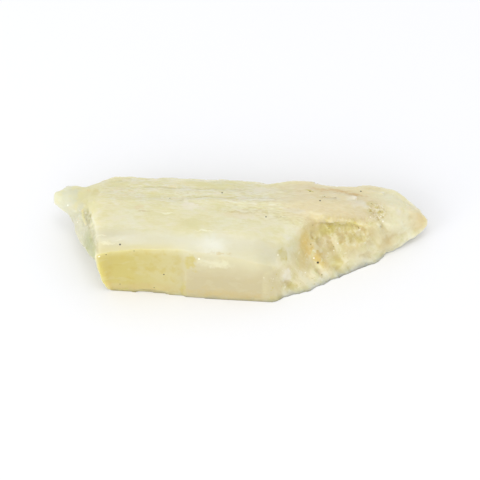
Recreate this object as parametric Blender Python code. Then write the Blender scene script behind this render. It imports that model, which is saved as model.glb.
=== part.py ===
"""Oligoclase: one long cleavage fragment of feldspar, lying on its basal cleavage.

Metres, +Z up. The long cleavage edge runs along X, the two basal cleavages are
level, and the origin is at the middle of the fragment's box, on its flat underside.
Run with: blender --background --python part.py
"""
import math

import bmesh
import bpy
from mathutils import Matrix, Vector, noise

# ------------------------------------------------------------ driving dimensions
LENGTH = 0.056  # along X, from the nub's end to the far tip
WIDTH = 0.0186  # along Y, across the blade
HEIGHT = 0.010  # along Z, from the lower basal cleavage to the upper one

# ------------------------------------------------------------ the skin
STATIONS = 100  # cross sections along the blade
PANEL_STEP = (-13.5, -13.1)  # two more, either side of the step in the front face
CLEAVED_WAVE = 0.010 * HEIGHT  # unevenness of a cleavage face
BROKEN_WAVE = 0.045 * HEIGHT  # unevenness of a broken face
SPLINTER_STEP = 0.05 * HEIGHT  # how far one splinter stands out past the next
CLEAVED_LUMP = Vector((0.20, 0.12, 0.12)) * LENGTH / 2  # length of its waves, x y z
BROKEN_LUMP = Vector((0.05, 0.05, 0.10)) * LENGTH / 2
TOP_BROKEN = 0.3  # how broken the top is past the lip: 0 is cleaved, 1 is splintery
BACK_BROKEN = 0.25  # how broken the back and the underside are
LEVEL_MARGIN = 0.00001  # what lies this close to the level cleavages is part of them
FACET_ANGLE = math.radians(20)

# ------------------------------------------------------------ slivers and grooves
SLIVER_CUTS = 4  # points along each long edge, which lets it stray
RAGGED = 0.35  # how far a long edge strays, as a share of the width
START_PINCH = (0.3, 0.5)  # what is left of width and depth at the start
END_PINCH = (0.15, 0.4)  # the same at the end, which is nearly a point
EIGHTH_TURN = math.radians(45)

FELDSPAR_COLOUR = (0.80, 0.75, 0.52, 1.0)
FELDSPAR_ROUGHNESS = 0.45

# The ways the faces look. The broken right end looks to the front, the right and a
# little up, and its splinters run down and to the right.
BREAK_OUT = Vector((0.61, -0.66, 0.43)).normalized()
FRONT = Vector((0, -1, 0))
BACK = Vector((0, 1, 0))
BACK_SLOPE = Vector((0, 0.3, 0.95)).normalized()  # the gentle fall of the top's back half
UP = Vector((0, 0, 1))

# ------------------------------------------------------------ the blade's long edges
# Each rail is one edge line of the blade, from the nub's end on the left to the far
# tip on the right. A point is (along, across, up): percent of LENGTH from the middle,
# percent of WIDTH from the middle, and percent of HEIGHT above the underside.
NUB_END = -50
FAR_TIP = 50

RAILS = {
    # lower front edge, where the front cleavage face meets the underside
    "foot": (
        (NUB_END, 16, 54), (-46, 8, 47), (-44.5, 2, 43), (-43, -12, 42),
        (-41, -22, 44), (-38.5, -38, 56), (-37, -48.5, 74), (-36.3, -50, 52),
        (-35.7, -50, 38), (-34.8, -48, 15), (-33.5, -46.5, 0), (-22.5, -47.5, 0),
        (-13.5, -48.5, 0), (-12.7, -49.5, 0), (-2.5, -50, 0), (11, -50, 0),
        (13, -44.5, 0), (16, -41.5, 0), (20.5, -35.5, 0), (24.5, -26, 0),
        (32, -13, 0), (36, -5.5, 0), (39.5, 2.5, 0), (41.5, 8, 1.5),
        (44, 15.5, 5), (47, 20.5, 10), (49.3, 26, 16), (FAR_TIP, 28.5, 21),
    ),
    # half way up the front face; on the left end it is the widest line
    "waist": (
        (NUB_END, 16, 59), (-46, 8, 54), (-44.5, 3, 50), (-43, -12, 50),
        (-41, -23, 51), (-38.5, -40, 64), (-37, -49, 79), (-36.3, -50, 65),
        (-35.5, -50, 52), (-33.5, -47, 44), (-22.5, -46, 44),
        (-13.8, -46, 44), (-13, -47.5, 44), (-2.5, -47.5, 44), (6.5, -48.5, 42),
        (11, -47, 32), (16, -37.5, 26), (20.5, -30, 26), (24.5, -22.5, 25),
        (32, -11, 22), (39.5, 4, 18), (47, 20.5, 14), (FAR_TIP, 28.5, 24),
    ),
    # upper front edge, where the front face rounds over on to the shoulder
    "brow": (
        (NUB_END, 17, 64), (-46, 8.5, 63), (-44.5, 3.5, 61), (-43, -10, 63),
        (-40.5, -20, 70), (-38.5, -36, 78), (-37, -49.5, 85), (-33.5, -46, 87),
        (-25, -41.5, 89), (-15, -39.5, 89), (-4.5, -42.5, 86), (2.5, -44, 83),
        (6.5, -46.5, 80), (11, -42, 64), (16.5, -29.5, 56), (20.5, -20, 52),
        (24.5, -14.5, 49), (32.5, -6.5, 42), (38, 3, 36), (43, 15, 28),
        (47, 22, 21), (FAR_TIP, 28.5, 27),
    ),
    # front edge of the level top, then the upper lip of the broken right end
    "crest": (
        (NUB_END, 19, 67), (-46, 11, 70), (-44.5, 6, 70), (-43, -4, 72),
        (-40.5, -9, 82),
        (-39, -10, 96), (-37, -38, 97), (-25.5, -28.5, 100), (-9.5, -25.5, 100),
        (1, -24.5, 100), (6, -28, 98), (10.5, -29, 91), (14, -21, 89),
        (16.5, -13, 89), (18.5, 2, 91), (22.5, -2, 88), (28.5, 1.5, 83),
        (33, 0, 75), (38, 7, 61), (43, 18, 47), (47, 26.5, 36),
        (FAR_TIP, 29.5, 29),
    ),
    # where the top begins to fall gently to the back
    "bench": (
        (NUB_END, 22, 69), (-46, 18, 75), (-43, 11, 76), (-40.5, 6, 84),
        (-39, 4.5, 96), (-25.5, 4.5, 97), (-10.5, 5.5, 97), (0.5, 8, 96),
        (10.5, 13, 94), (18.5, 18, 92), (24.5, 18.5, 88), (28.5, 18.5, 85),
        (33, 20.5, 78), (38, 23.5, 71), (43, 29.5, 60), (47, 31.5, 46),
        (FAR_TIP, 31, 30),
    ),
    # upper back edge
    "rim": (
        (NUB_END, 24, 66), (-49, 25, 67), (-47, 28.5, 70), (-43.5, 30.5, 73),
        (-40.5, 31, 73), (-38.5, 35, 75), (-35, 39.5, 74), (-30, 41.5, 72),
        (-24, 41.5, 72), (-17, 40, 72), (-1.5, 44, 72), (2, 43, 70),
        (7.5, 42, 71), (10, 43, 72), (13, 46.5, 72), (18.5, 47.5, 72),
        (21, 45.5, 72), (26, 44.5, 70), (36, 49.5, 63), (41, 49.5, 56),
        (43.5, 46.5, 50), (46, 41.5, 43), (48.5, 35.5, 35), (FAR_TIP, 31, 28),
    ),
    # a shelf half way down the back, along a lower cleavage
    "shelf": (
        (NUB_END, 24, 61), (-47, 28, 60), (-43.5, 30, 56), (-40.5, 32, 52),
        (-37.5, 38, 44), (-30.5, 44, 42), (-17, 43, 46), (-3.5, 47, 44),
        (7.5, 48.5, 38), (17.5, 47, 42), (26, 49, 36), (36, 50, 34),
        (41, 49, 32), (46, 40, 28), (48.5, 35, 26), (FAR_TIP, 30.5, 25),
    ),
    # lower back edge
    "heel": (
        (NUB_END, 20, 57), (-46, 23, 49), (-43.5, 25, 43), (-40.5, 28, 33),
        (-38.5, 30, 16), (-36, 34, 0), (-29.5, 40, 0), (-17, 37, 0),
        (-1.5, 43, 0), (7.5, 45, 0), (17.5, 41, 0), (26, 46, 0),
        (36, 45, 0), (41, 42, 0), (43.5, 39, 4), (46, 36, 9),
        (48.5, 33, 15), (FAR_TIP, 29.5, 22),
    ),
}

# how many strips of skin lie between one rail and the next, round a cross section
SPANS = (
    ("foot", "waist", 3), ("waist", "brow", 4), ("brow", "crest", 4),
    ("crest", "bench", 4), ("bench", "rim", 4), ("rim", "shelf", 3),
    ("shelf", "heel", 3), ("heel", "foot", 5),
)
FRONT_STRIPS = 11  # the strips from foot to crest, which are broken on the right
TOP_STRIPS = 19  # the strips from foot to rim
BREAK_START = 7  # percent along, where the front face ends and the broken end starts
BREAK_FULL = 12
BREAK_DELAY = 7  # percent along, by which it starts later next to the level top
TOP_BREAK = (20, 30)  # percent along, between which the top grows uneven
KNOB_START = 38  # percent along, where the splinters end at the smooth far knob
KNOB_FADE = 5  # percent along, over which they fade out

# A hollow under the upper lip of the broken end: its middle and half its reach, along
# in percent and down the face in strips.
HOLLOW_ALONG = (23.5, 9)
HOLLOW_STRIP = (8, 4)
HOLLOW_DEPTH = 0.11 * HEIGHT
HOLLOW_CALM = 0.6  # how much less the splinters stand out in its middle

# The cross sections lean with the splinters: a rail is read this many times LEAN
# further along than the station.
LEAN = 4.5
LEAN_GROWS = (2, 14)  # percent along
LEAN_FADES = (34, 48)
RAIL_LEAN = {
    "foot": 1, "waist": 0.3, "brow": -0.3, "crest": -1,
    "bench": -1, "rim": -0.6, "shelf": 0, "heel": 0.3,
}

# Long narrow shapes: (name, start, end, width, depth, facing). Start and end are
# percentages like a rail's, width and depth are percent of HEIGHT, and the shape is
# half sunk in the face it lies on.
SLIVERS = (
    ("rim_plate", (-35, 30, 80), (-1, 33, 79), 20, 2.5, BACK_SLOPE),
    ("back_plate", (-31, 19, 88.5), (5, 22, 86), 17, 2.5, BACK_SLOPE),
    ("long_feather", (-15, 9, 94.5), (16, 12, 93), 15, 3, BACK_SLOPE),
    ("lip_feather", (-5, -4, 95), (15, 1, 91), 17, 3, UP),
    ("far_plate", (3, 24, 84), (31, 28, 80), 17, 3, BACK_SLOPE),
    ("far_rim_plate", (9, 37, 76), (38, 41, 67), 14, 3, BACK_SLOPE),
    ("pale_plate", (8.6, -37, 80), (14.3, -40.5, 24), 12, 4, BREAK_OUT),
    ("back_ledge", (-30, 41, 56), (12, 45, 52), 22, 6, BACK),
    ("back_sliver", (8, 44, 24), (37, 46, 26), 24, 6, BACK),
)
GROOVES = (
    ("under_lip", (21, 1, 77), (33, 2.5, 69), 7, 4, BREAK_OUT),
    ("lip_groove", (16.5, -23, 70), (23.5, -27, 8), 7, 5, BREAK_OUT),
    ("corner_pocket", (12.3, -41, 36), (16, -39.5, 10), 8, 5, BREAK_OUT),
    ("rim_pit_left", (14, 29, 82), (19, 31, 80.5), 4, 3, BACK_SLOPE),
    ("rim_pit_right", (21, 24, 84.5), (26, 25, 82.5), 4, 3, BACK_SLOPE),
    ("knob_crack", (34, 23, 78), (38, 12.5, 66), 6, 4, UP),
    ("knob_crease", (37.5, 12, 63), (40.5, 6.5, 32), 7, 4, BREAK_OUT),
    ("nub_crack", (-41.4, 3, 78), (-40, -17, 80), 4, 3, UP),
    ("back_crack", (-24, 41, 28), (-2, 44, 26), 5, 6, BACK),
    ("under_groove", (-20, 20, 0), (18, 27, 0), 5, 5, UP),
)
CHIPS = (
    ("front_chip", (-9.8, -43.5, 78), (-1.6, -45, 76), 15, 5, FRONT),
    ("foot_chip", (-27, -48, 3), (-17, -49, 2), 12, 4, FRONT),
    ("heel_chip", (-16, 42, 4), (0, 46, 6), 30, 9, BACK),
    ("rim_chip", (19, 45, 70), (31, 47, 66), 12, 5, BACK),
)


def place(along, across, up):
    """A point of the fragment from its three percentages."""
    return Vector((along * LENGTH, across * WIDTH, up * HEIGHT)) / 100


def rail_point(rail, along):
    """The point of a rail at one station, straight between the rail's own points."""
    points = RAILS[rail]
    for (x0, y0, z0), (x1, y1, z1) in zip(points, points[1:]):
        if along <= x1:
            share = max(0.0, (along - x0) / (x1 - x0))
            return place(along, y0 + (y1 - y0) * share, z0 + (z1 - z0) * share)
    return place(*points[-1])


def ramp(value, start, end):
    """0 before start, 1 after end, straight between."""
    return min(1.0, max(0.0, (value - start) / (end - start)))


def lean(along):
    """How far a cross section leans, which it does only across the broken end."""
    return LEAN * ramp(along, *LEAN_GROWS) * (1 - ramp(along, *LEAN_FADES))


def cross_section(along):
    """The ring of points round the blade at one station."""
    ring = []
    for start, end, strips in SPANS:
        a = rail_point(start, along + RAIL_LEAN[start] * lean(along))
        b = rail_point(end, along + RAIL_LEAN[end] * lean(along))
        ring += [a.lerp(b, strip / strips) for strip in range(strips)]
    return ring


def broken_share(strip, along):
    """How far a point of the skin belongs to the splintery broken end."""
    before_knob = 1 - ramp(along, KNOB_START, KNOB_START + KNOB_FADE)
    if strip < FRONT_STRIPS:
        delay = BREAK_DELAY * ramp(strip, 5, 9)
        return ramp(along, BREAK_START + delay, BREAK_FULL + delay) * before_knob
    if strip < TOP_STRIPS:
        return TOP_BROKEN * ramp(along, *TOP_BREAK) * before_knob
    return BACK_BROKEN


def unevenness(point, broken):
    """How far a point of the skin stands out or in, as a length."""
    clean = noise.noise(Vector(p / s for p, s in zip(point, CLEAVED_LUMP)))
    rough = noise.noise(Vector(p / s for p, s in zip(point, BROKEN_LUMP)))
    return clean * CLEAVED_WAVE * (1 - broken) + rough * BROKEN_WAVE * broken


def splinter(number, strip):
    """How far a splinter stands out: it is two cross sections wide, least at the foot.

    Two thirds of it is the same all down the splinter, and the rest differs with each
    two strips, so that the splinter looks snapped.
    """
    whole = noise.cell(Vector((number // 2 + 0.5, 0.5, 0.5))) - 0.5
    piece = noise.cell(Vector((number // 2 + 0.5, strip // 2 + 0.5, 1.5))) - 0.5
    return (whole * 4 + piece * 2) / 3 * SPLINTER_STEP * ramp(strip, -1.5, 4)


def in_hollow(along, strip):
    """How far a point lies in the hollow under the lip: 1 at its middle."""
    off_along = (along - HOLLOW_ALONG[0]) / HOLLOW_ALONG[1]
    off_strip = (strip - HOLLOW_STRIP[0]) / HOLLOW_STRIP[1]
    return max(0.0, 1 - off_along**2 - off_strip**2)


def stations():
    """The stations along the blade, as percentages of its length."""
    even = [NUB_END + (FAR_TIP - NUB_END) * n / STATIONS for n in range(STATIONS + 1)]
    return sorted(even + list(PANEL_STEP))


def loft_blade():
    """The blade's skin: a ring of points at each station, joined to the next."""
    bm = bmesh.new()
    rings = []
    skin = {}
    for number, along in enumerate(stations()):
        ring = [bm.verts.new(point) for point in cross_section(along)]
        rings.append(ring)
        for strip, vert in enumerate(ring):
            skin[vert] = (number, strip, along)
    for ring, following in zip(rings, rings[1:]):
        for k in range(len(ring)):
            after = (k + 1) % len(ring)
            bm.faces.new((ring[k], following[k], following[after], ring[after]))
    bm.faces.new(rings[0])
    bm.faces.new(reversed(rings[-1]))
    bmesh.ops.recalc_face_normals(bm, faces=bm.faces)
    roughen(bm, skin)
    return bm


def roughen(bm, skin):
    """Moves the skin out and in along its normals.

    What is level stays level, and the ends and the widest edges stay where they are,
    so the fragment keeps its size.
    """
    bm.normal_update()
    ends, sides, _ = place(FAR_TIP - 0.5, 49, 0)
    moves = {}
    for vert, (number, strip, along) in skin.items():
        broken = broken_share(strip, along)
        move = unevenness(vert.co, broken)
        if strip <= FRONT_STRIPS:
            hollow = in_hollow(along, strip)
            move += splinter(number, strip) * broken * (1 - HOLLOW_CALM * hollow)
            move -= HOLLOW_DEPTH * hollow
        moves[vert] = vert.normal * move
    for vert, move in moves.items():
        if abs(vert.co.x) > ends or abs(vert.co.y) > sides:
            continue
        if vert.co.z < LEVEL_MARGIN or vert.co.z > HEIGHT - LEVEL_MARGIN:
            move.z = 0
        vert.co += move
        vert.co.z = min(max(vert.co.z, 0.0), HEIGHT)


def frame_of(start, end, facing):
    """A matrix at the middle of a line: X along it, Z facing out."""
    run = (end - start).normalized()
    side = facing.cross(run).normalized()
    out = run.cross(side)
    turn = Matrix((run, side, out)).transposed().to_4x4()
    return Matrix.Translation((start + end) / 2) @ turn


def pinch(vert, shares):
    """Narrows one end of a bar to these shares of its width and depth."""
    vert.co.y *= shares[0]
    vert.co.z *= shares[1]


def tapered_bar(name, start, end, width, depth, facing, ridged, collection):
    """A ragged bar along a line, pinched at both ends; a ridged one has an edge on top."""
    size = (end - start).length
    bm = bmesh.new()
    bmesh.ops.create_cube(bm, size=1.0)
    long_edges = [e for e in bm.edges if abs(e.verts[0].co.x - e.verts[1].co.x) > 0.5]
    bmesh.ops.subdivide_edges(bm, edges=long_edges, cuts=SLIVER_CUTS, use_grid_fill=True)
    if ridged:
        bmesh.ops.rotate(bm, verts=bm.verts, matrix=Matrix.Rotation(EIGHTH_TURN, 3, "X"))
    for vert in bm.verts:
        spot = Vector((vert.co.x * 4, math.copysign(2, vert.co.y), size / LENGTH * 50))
        vert.co.y += RAGGED * noise.noise(spot)
        if vert.co.x < -0.45:
            pinch(vert, START_PINCH)
        if vert.co.x > 0.45:
            pinch(vert, END_PINCH)
    bmesh.ops.scale(bm, verts=bm.verts, vec=(size, width, depth))
    bmesh.ops.transform(bm, verts=bm.verts, matrix=frame_of(start, end, facing))
    return finish_object(bm, name, collection)


def finish_object(bm, name, collection):
    """Makes the mesh an object in a collection."""
    bmesh.ops.triangulate(bm, faces=bm.faces)
    mesh = bpy.data.meshes.new(name)
    bm.to_mesh(mesh)
    bm.free()
    mesh.shade_smooth()
    mesh.set_sharp_from_angle(angle=FACET_ANGLE)
    made = bpy.data.objects.new(name, mesh)
    collection.objects.link(made)
    return made


def combine(blade, collection, operation):
    """Adds or cuts every shape of a collection, and hides those shapes."""
    for shape in collection.objects:
        shape.hide_render = True
        shape.display_type = "WIRE"
    boolean = blade.modifiers.new(collection.name, "BOOLEAN")
    boolean.operation = operation
    boolean.solver = "EXACT"
    boolean.operand_type = "COLLECTION"
    boolean.collection = collection


def bars(rows, ridged, collection):
    """The bars of one table. Half of each is sunk, so it is made twice its depth."""
    for name, start, end, width, depth, facing in rows:
        sizes = (width * HEIGHT / 100, 2 * depth * HEIGHT / 100)
        tapered_bar(name, place(*start), place(*end), *sizes, facing, ridged, collection)


def feldspar():
    """Pale cream feldspar."""
    material = bpy.data.materials.new("feldspar")
    material.use_nodes = True
    shader = material.node_tree.nodes["Principled BSDF"]
    shader.inputs["Base Color"].default_value = FELDSPAR_COLOUR
    shader.inputs["Roughness"].default_value = FELDSPAR_ROUGHNESS
    shader.inputs["Metallic"].default_value = 0.0
    return material


def new_collection(name):
    made = bpy.data.collections.new(name)
    bpy.context.scene.collection.children.link(made)
    return made


def main():
    for old in list(bpy.data.objects):
        bpy.data.objects.remove(old, do_unlink=True)
    fragment = new_collection("oligoclase")
    growths = new_collection("growths")
    breaks = new_collection("breaks")
    blade = finish_object(loft_blade(), "cleavage_fragment", fragment)
    blade.data.materials.append(feldspar())
    bars(SLIVERS, False, growths)
    bars(GROOVES, True, breaks)
    bars(CHIPS, False, breaks)
    combine(blade, growths, "UNION")
    combine(blade, breaks, "DIFFERENCE")


main()
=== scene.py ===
# %% [markdown]
# # A cleavage fragment of oligoclase
#
# Oligoclase is a feldspar. It cleaves well in two directions that are almost square to
# each other, so a piece of it breaks into a blade: level above and below, steep in
# front, and splintery where it snapped across. This lesson dresses such a blade. The
# construction gives its faces, ledges and splinters. Here they get the finer relief
# that only a dense mesh can carry, then the pearly, stained, slightly see-through skin.
#
# The construction is loaded first, and nothing here moves it.

# %% Load the construction
import math

import bpy
import numpy as np
from mathutils import Matrix, Vector


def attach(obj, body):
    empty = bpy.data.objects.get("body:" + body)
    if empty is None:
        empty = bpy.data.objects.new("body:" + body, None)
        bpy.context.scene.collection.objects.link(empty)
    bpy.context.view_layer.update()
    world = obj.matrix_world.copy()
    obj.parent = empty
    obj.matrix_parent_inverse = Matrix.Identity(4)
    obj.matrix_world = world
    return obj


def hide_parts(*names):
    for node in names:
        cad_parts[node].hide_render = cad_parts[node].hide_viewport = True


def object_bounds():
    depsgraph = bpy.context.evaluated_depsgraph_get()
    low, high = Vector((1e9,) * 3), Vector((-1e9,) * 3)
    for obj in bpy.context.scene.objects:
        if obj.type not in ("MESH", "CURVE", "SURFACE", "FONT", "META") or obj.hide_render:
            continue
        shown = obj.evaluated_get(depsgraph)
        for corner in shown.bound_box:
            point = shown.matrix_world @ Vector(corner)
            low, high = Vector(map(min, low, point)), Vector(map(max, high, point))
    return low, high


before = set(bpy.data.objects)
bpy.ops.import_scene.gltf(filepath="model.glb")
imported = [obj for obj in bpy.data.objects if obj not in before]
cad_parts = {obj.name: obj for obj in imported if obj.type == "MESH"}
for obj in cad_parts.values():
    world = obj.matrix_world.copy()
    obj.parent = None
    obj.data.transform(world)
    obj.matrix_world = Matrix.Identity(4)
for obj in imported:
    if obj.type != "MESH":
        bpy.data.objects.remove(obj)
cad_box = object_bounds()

SOLID = "cleavage_fragment"
BODY = "root"
MM = 0.001
LOW, HIGH = (Vector(corner) for corner in cad_box)
SIZE = HIGH - LOW
print(f"the blade is {SIZE.x / MM:.1f} x {SIZE.y / MM:.1f} x {SIZE.z / MM:.1f} mm")


# %% [markdown]
# ## Where things are
#
# The stone has no drawing, only places. They are given as shares, the way the stone
# was measured: along its length and across its width in percent from the middle, and
# up in percent of its height. One helper turns a share into a point. In metres the same
# list would be harder to read, and it would be wrong for a stone of another size.

# %% Places on the stone
def place(along, across, up):
    """A point of the stone, in metres, from its three percentages."""
    return Vector((SIZE.x * along / 100, SIZE.y * across / 100, SIZE.z * up / 100))


print("the middle of the top is at", [round(v / MM, 2) for v in place(0, 0, 100)], "mm")


# %% [markdown]
# ## A dense copy of the solid
#
# The solid was packed as loose triangles, so a copy is merged first. Then it is voxel
# remeshed, which gives even quads an eighth of a millimetre wide and rounds every
# arris by as much, as handling does. Subdividing would have kept the solid's long thin
# triangles, and those dent when they are displaced.

# %% Copy and remesh
VOXEL = 0.125 * MM
WELD = 0.002 * MM


def only(piece):
    """Selects one object and makes it active."""
    bpy.ops.object.select_all(action="DESELECT")
    piece.select_set(True)
    bpy.context.view_layer.objects.active = piece


def apply_all(piece):
    """Applies every modifier of a piece, in order."""
    only(piece)
    for modifier in list(piece.modifiers):
        bpy.ops.object.modifier_apply(modifier=modifier.name)


def dense_copy(solid, name):
    """A merged and voxel remeshed copy of a solid."""
    piece = bpy.data.objects.new(name, solid.data.copy())
    bpy.context.scene.collection.objects.link(piece)
    only(piece)
    bpy.ops.object.mode_set(mode="EDIT")
    bpy.ops.mesh.select_all(action="SELECT")
    bpy.ops.mesh.remove_doubles(threshold=WELD)
    bpy.ops.object.mode_set(mode="OBJECT")
    remesh = piece.modifiers.new("even skin", "REMESH")
    remesh.mode = "VOXEL"
    remesh.voxel_size = VOXEL
    remesh.use_smooth_shade = True
    apply_all(piece)
    piece.data.materials.clear()
    return piece


stone = dense_copy(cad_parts[SOLID], "oligoclase_stone")
print(f"remeshed to {len(stone.data.vertices)} points")


# %% [markdown]
# ## Where the stone is cleaved and where it is broken
#
# Relief and colour both differ from face to face, so each kind of face is painted once
# and used twice: as a vertex group for the modifiers, and as an attribute of the same
# name for the material. Painting by hand would do for one stone, but nobody could read
# it or change it. So the paint is worked out from each point's place and from the way
# it faces, while the skin is still plain. The vertex groups fade out at the underside,
# because the stone rests on it.

# %% Read the points and paint on them
LEVELS = 40  # steps between no weight and full weight in a vertex group
BASE_FADE = (1, 5)  # the percent of the height over which the relief sets in


def read(piece, what):
    """A mesh's points or normals as rows of x, y and z."""
    rows = np.empty(len(piece.data.vertices) * 3, np.float32)
    piece.data.vertices.foreach_get(what, rows)
    return rows.reshape(-1, 3).astype(float)


def rise(value, start, end):
    """0 before start and 1 after end, with a soft curve between. Start may be the larger."""
    t = np.clip((value - start) / (end - start), 0, 1)
    return t * t * (3 - 2 * t)


def within(value, outside, inside, inside_end, outside_end):
    """1 between the two inner numbers and 0 past the outer ones, with soft curves between."""
    return rise(value, outside, inside) * rise(value, outside_end, inside_end)


def paint(piece, name, weight):
    """Stores a weight for every point, as an attribute and, off the base, as a vertex group."""
    weight = np.clip(weight, 0, 1)
    attribute = piece.data.attributes.new(name, "FLOAT", "POINT")
    attribute.data.foreach_set("value", weight.astype(np.float32))
    group = piece.vertex_groups.new(name=name + " group")
    level = np.rint(weight * off_base * LEVELS).astype(int)
    for step in range(1, LEVELS + 1):
        chosen = np.flatnonzero(level == step).tolist()
        group.add(chosen, step / LEVELS, "REPLACE")
    print(f"{name}: {np.count_nonzero(level)} points")
    return weight


along, across, up = (read(stone, "co") / np.array(SIZE) * 100).T
facing_x, facing_y, facing_z = read(stone, "normal").T
off_base = rise(up, *BASE_FADE)
paint(stone, "off floor", off_base)


# %% [markdown]
# ### The kinds of face
#
# The blade is cleaved on top and in front. Its right end is broken, below a ragged edge
# called the lip. The left end is an undercut break with a nub behind it, and a low knob
# makes the far tip. A flat face can be picked by its normal. The broken end's facets
# point every way, so it is picked by place instead, as what lies past the line of the lip.

# %% The kinds of face
LIP_ALONG = (6, 8, 11, 17, 23, 28, 33, 38, 43, 47)
LIP_ACROSS = (-60, -44, -33, -10, 0, 3, 5, 16, 24, 30)

past_lip = np.interp(along, LIP_ALONG, LIP_ACROSS) - across
right_end = rise(past_lip, -2, 3) * within(along, 6, 11, 45, 50)
pale_corner = rise(along, 17.5, 15) * rise(up, 50, 66)  # past the lip, yet smooth like the top
broken = paint(stone, "broken", right_end * (1 - pale_corner))

level_face = (1 - broken) * rise(facing_z, 0.5, 0.85)
cleaved = paint(stone, "cleaved", level_face * rise(along, -40, -37))
steep_face = (1 - broken) * rise(-facing_y, 0.6, 0.85)
front = paint(stone, "front", steep_face * within(along, -37, -35.5, 9, 14))

left_face = rise(-facing_x, 0.3, 0.6) * rise(along, -34, -35)
end = paint(stone, "end", left_face * rise(across, 12, 4))
nub = paint(stone, "nub", rise(along, -37, -40) * rise(across, -16, -8))
paint(stone, "back", rise(facing_y, 0.35, 0.7))
paint(stone, "knob", rise(along, 35, 42))


# %% [markdown]
# ### Where it is rougher
#
# Crumbs sit under the lip, in a cluster beside the knob, and along the crack between the
# top and the left end. Thin plates end on the back half of the top, and the foot of the
# front is ragged. There are hundreds of crumbs, too many to model one by one. So each of
# these places gets a weight of its own, and textures make the crumbs there.

# %% Rougher places
END_MIDDLE = -40.9  # where the crack at the left end crosses the blade's middle line
END_SLANT = 0.0944  # how many percent left the crack goes for each percent back
CLUSTER = (36.6, 19.5, 71)

past_end = along - END_MIDDLE + END_SLANT * across
from_cluster = np.linalg.norm((read(stone, "co") - place(*CLUSTER)) / MM, axis=1)

paint(stone, "coarse break", broken * rise(along, 48, 42))
paint(stone, "crumbly", broken * within(along, 14, 18, 30, 38) * rise(up, 92, 80))
paint(stone, "lip", rise(abs(past_lip - 2), 9, 3) * within(along, 16, 20, 33, 37))
paint(stone, "crumb cluster", rise(from_cluster, 2.1, 1.0) * rise(up, 30, 50))
crack = rise(abs(past_end), 0.9, 0.2) * within(across, -49, -44, -4, 3)
paint(stone, "end crack", crack)
beside = rise(abs(past_end + 1), 2.5, 1) * within(across, -26, -18, 0, 4)
paint(stone, "beside the crack", beside)
paint(stone, "plated", cleaved * rise(across, -14, 6))
paint(stone, "foot", front * rise(up, 16, 4))


# %% [markdown]
# ### Where it is worn round
#
# Handling has rounded the corner between the top and the broken end, the right half of
# the shoulder's edge and the root of the nub. The left edge, the lip and the root of the
# knob are worn less. Each edge is boxed in by its place, which is easier to read and to
# change than a list of edges, and the strongest weight at a point counts.

# %% Worn edges
shoulder_edge = within(along, -14, -8, 8, 13) * rise(across, -28, -36) * rise(up, 50, 65)
break_edge = within(along, 4, 8, 15, 21) * rise(across, 14, -4) * rise(up, 15, 40)
nub_root = within(along, -45, -42, -37, -34) * rise(across, -14, 0)
left_edge = rise(along, -35, -38) * rise(across, -46, -38) * rise(up, 70, 85)
lip_edge = rise(abs(past_lip - 1), 6, 2) * within(along, 17, 21, 33, 37) * rise(up, 60, 70)
knob_root = within(along, 32, 34, 41, 43) * within(across, 2, 6, 24, 28)

well_worn = (0.8 * shoulder_edge, break_edge, nub_root)
less_worn = (0.5 * left_edge, 0.2 * lip_edge, 0.3 * knob_root)
paint(stone, "corner", np.maximum.reduce(well_worn + less_worn))
paint(stone, "worn", np.maximum(cleaved, 0.7 * broken) + nub + end)


# %% [markdown]
# ## Soften what is worn
#
# On the real stone the worn edges are smooth, while the lower ones are crisp. A Bevel
# would round an edge evenly, and wear is uneven. The Smooth modifier moves each point
# towards its neighbours' mean. Many rounds of it on a fine mesh round a corner by a
# millimetre, and its vertex group keeps it off the crisp edges.

# %% Soften
PULL = 0.9  # how far a round takes a point towards its neighbours' mean
CORNER_ROUNDS = 320
WORN_ROUNDS = 40


def soften(piece, group, rounds):
    """Rounds the skin within a vertex group."""
    modifier = piece.modifiers.new("soften", "SMOOTH")
    modifier.factor = PULL
    modifier.iterations = rounds
    modifier.vertex_group = group + " group"
    apply_all(piece)
    print(f"{group}: softened by {rounds} rounds")


soften(stone, "corner", CORNER_ROUNDS)
soften(stone, "worn", WORN_ROUNDS)


# %% [markdown]
# ## Relief from stretched textures
#
# Feldspar parts in thin plates that are drawn out along the blade. They could be sculpted,
# but a Displace modifier is quicker and can be repeated: it pushes the skin in and out by
# a texture. Its texture is read in the space of an empty, so an empty that is long in X
# and short in Y draws the texture out along the blade. A ramp with constant steps turns
# the smooth texture into terraces, which is how plates end on a cleavage.

# %% A texture's space and its terraces
ALONG = Vector((1, 0, 0))
UP = Vector((0, 0, 1))
LOWEST_STEP = 0.22  # most of a cloud texture's values lie from here
STEPS_SPAN = 0.56  # to this much above it


def grain_space(size, run=ALONG, out=UP):
    """An empty whose X lies along run and whose unit is size, in millimetres."""
    empty = bpy.data.objects.new("grain", None)
    bpy.context.scene.collection.objects.link(empty)
    side = out.cross(run).normalized()
    turn = Matrix((run, side, run.cross(side))).transposed().to_4x4()
    empty.matrix_world = turn @ Matrix.Diagonal((*[s * MM for s in size], 1))
    return empty


def terraces(texture, heights):
    """Gives a texture flat steps of these heights."""
    texture.use_color_ramp = True
    ramp = texture.color_ramp
    ramp.interpolation = "CONSTANT"
    while len(ramp.elements) < len(heights):
        ramp.elements.new(0.5)
    for number, height in enumerate(heights):
        ramp.elements[number].position = LOWEST_STEP + STEPS_SPAN * number / len(heights)
        ramp.elements[number].color = (height, height, height, 1)


# %% Displace and press
CLOUD = {"noise_scale": 1.0, "noise_depth": 2}


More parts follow.
